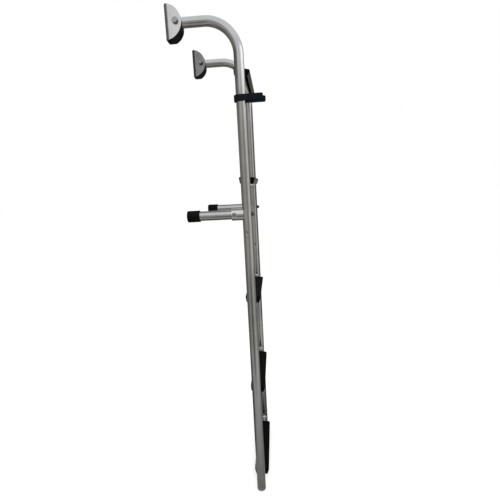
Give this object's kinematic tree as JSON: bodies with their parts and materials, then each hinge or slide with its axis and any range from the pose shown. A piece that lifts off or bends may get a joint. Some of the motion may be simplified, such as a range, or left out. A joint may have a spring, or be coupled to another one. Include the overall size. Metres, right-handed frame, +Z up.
{
  "type": "swim ladder",
  "caption": "Tube swim ladder with bent arms on pivoting wall brackets, ribbed treads, rubber-capped standoffs, snap-together rails and a tie strap.",
  "frame": {"origin": "on the wall, midway between the two brackets, at the height of their pivots", "axes": "+X out from the wall, +Y along the wall from the left rail to the right rail, +Z up"},
  "size_m": [0.2392, 0.378, 1.3482],
  "materials": {
    "tube": "bright drawn tube, lightly polished",
    "bracket_sheet": "satin sheet",
    "socket_metal": "bright turned",
    "inner_metal": "mill",
    "steel": "stainless fasteners",
    "rubber": "matt moulded",
    "tread_plastic": "moulded, ribbed",
    "webbing": "woven webbing"
  },
  "bodies": {
    "brackets": {"bracket_left": "bracket_sheet", "bracket_right": "bracket_sheet", "bumper_left": "rubber", "bumper_right": "rubber", "pivot_bolt_left": "steel", "pivot_bolt_right": "steel", "pivot_nuts": "steel", "pivot_washers": "steel"},
    "ladder": {"upper_rail_left": "tube", "upper_rail_right": "tube", "lower_rail_left": "tube", "lower_rail_right": "tube", "standoff_tube_left": "tube", "standoff_tube_right": "tube", "rung_1": "tube", "rung_2": "tube", "rung_3": "tube", "rung_4": "tube", "rung_5": "tube", "standoff_socket_left": "socket_metal", "standoff_socket_right": "socket_metal", "coupling_left": "inner_metal", "coupling_right": "inner_metal", "pivot_bush_left": "inner_metal", "pivot_bush_right": "inner_metal", "tread_screws": "steel", "cross_bolts": "steel", "cross_nuts": "steel", "anchor_bolts": "steel", "anchor_nuts": "steel", "coupling_rivets": "steel", "button_spring_left": "steel", "button_spring_right": "steel", "standoff_cap_left": "rubber", "standoff_cap_right": "rubber", "tread_1": "tread_plastic", "tread_2": "tread_plastic", "tread_3": "tread_plastic", "tread_4": "tread_plastic", "tread_5": "tread_plastic", "rail_end_plug_left": "tread_plastic", "rail_end_plug_right": "tread_plastic", "tie_strap": "webbing"},
    "left_button": {"snap_button_left": "steel"},
    "right_button": {"snap_button_right": "steel"}
  },
  "joints": [
    {"name": "ladder_swing", "type": "hinge", "parent": "brackets", "child": "ladder", "pos_m": [0.02716, 0, 0], "axis": [0, -1, 0], "range_deg": [0, 95]},
    {"name": "left_button_press", "type": "slide", "parent": "ladder", "child": "left_button", "axis": [0, 1, 0], "range_m": [0, 0.0054], "stiffness_N_per_m": 900, "springref_m": -0.003, "deforming": ["button_spring_left"]},
    {"name": "right_button_press", "type": "slide", "parent": "ladder", "child": "right_button", "axis": [0, -1, 0], "range_m": [0, 0.0054], "stiffness_N_per_m": 900, "springref_m": -0.003, "deforming": ["button_spring_right"]}
  ]
}
